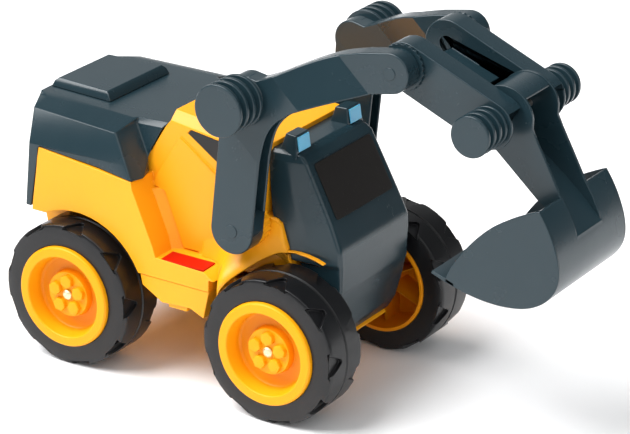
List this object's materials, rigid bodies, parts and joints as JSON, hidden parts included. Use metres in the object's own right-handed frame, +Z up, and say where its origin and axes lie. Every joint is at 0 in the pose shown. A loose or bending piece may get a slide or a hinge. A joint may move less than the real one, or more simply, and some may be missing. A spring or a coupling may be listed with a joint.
{
  "type": "toy excavator",
  "caption": "Moulded sand-pit toy excavator: yellow body and dark hood on free-rolling wheels, with a hinged boom, dipper and scoop worked by ribbed hand grips.",
  "frame": {"origin": "centre of the overall box, on the ground under the tyres", "axes": "+X forward to the scoop, +Y to the toy's left, +Z up"},
  "size_m": [0.4824, 0.242, 0.3109],
  "materials": {
    "yellow_plastic": "glossy moulded polypropylene",
    "slate_plastic": "semi-gloss moulded polypropylene, dark blue grey",
    "tyre": "matt charcoal soft plastic with moulded lugs",
    "axle_steel": "bright drawn steel",
    "lens_plastic": "light blue gloss",
    "reflector_plastic": "red gloss film",
    "panel_film": "satin dark brown film, plain",
    "window_film": "smoked dark film",
    "bush_plastic": "matt black"
  },
  "bodies": {
    "body": {"chassis_pan": "yellow_plastic", "body_shell": "yellow_plastic", "rear_hood": "slate_plastic", "engine_cover": "slate_plastic", "front_cowl": "slate_plastic", "front_panel": "panel_film", "lamp_lens_right": "lens_plastic", "lamp_lens_left": "lens_plastic", "sill_reflector_right": "reflector_plastic", "sill_reflector_left": "reflector_plastic", "side_window_right": "window_film", "side_window_left": "window_film", "rear_axle_bush_right": "bush_plastic", "rear_axle_bush_left": "bush_plastic", "front_axle_bush_right": "bush_plastic", "front_axle_bush_left": "bush_plastic", "chassis_screw_1": "axle_steel", "chassis_screw_2": "axle_steel", "chassis_screw_3": "axle_steel", "chassis_screw_4": "axle_steel", "boom_ratchet_right": "yellow_plastic", "boom_ratchet_left": "yellow_plastic", "boom_pin_right": "slate_plastic", "boom_pin_left": "slate_plastic"},
    "rear_wheels": {"rear_axle": "axle_steel", "rear_rim_right": "yellow_plastic", "rear_rim_left": "yellow_plastic", "rear_tyre_right": "tyre", "rear_tyre_left": "tyre", "rear_axle_cap_right": "axle_steel", "rear_axle_cap_left": "axle_steel"},
    "front_wheels": {"front_axle": "axle_steel", "front_rim_right": "yellow_plastic", "front_rim_left": "yellow_plastic", "front_tyre_right": "tyre", "front_tyre_left": "tyre", "front_axle_cap_right": "axle_steel", "front_axle_cap_left": "axle_steel"},
    "boom": {"boom_arm_right": "slate_plastic", "boom_arm_left": "slate_plastic", "elbow_grip_right": "slate_plastic", "elbow_grip_left": "slate_plastic", "dipper_pin_right": "slate_plastic", "dipper_pin_left": "slate_plastic", "dipper_ratchet_right": "slate_plastic", "dipper_ratchet_left": "slate_plastic"},
    "dipper_arm": {"dipper": "slate_plastic", "dipper_grip_right": "slate_plastic", "dipper_grip_left": "slate_plastic", "bucket_rod": "axle_steel"},
    "scoop": {"bucket": "slate_plastic"}
  },
  "joints": [
    {"name": "rear_wheels_roll", "type": "hinge", "parent": "body", "child": "rear_wheels", "pos_m": [-0.1744, 0, 0.06], "axis": [0, 1, 0], "continuous": true},
    {"name": "front_wheels_roll", "type": "hinge", "parent": "body", "child": "front_wheels", "pos_m": [0.0181, 0, 0.06], "axis": [0, 1, 0], "continuous": true},
    {"name": "boom_pivot", "type": "hinge", "parent": "body", "child": "boom", "pos_m": [-0.0254, 0, 0.146], "axis": [0, 1, 0], "range_deg": [-20, 28]},
    {"name": "dipper_pivot", "type": "hinge", "parent": "boom", "child": "dipper_arm", "pos_m": [0.0966, 0, 0.292], "axis": [0, 1, 0], "range_deg": [-25, 10]},
    {"name": "scoop_pivot", "type": "hinge", "parent": "dipper_arm", "child": "scoop", "pos_m": [0.1716, 0, 0.261], "axis": [0, 1, 0], "range_deg": [-40, 25]}
  ]
}
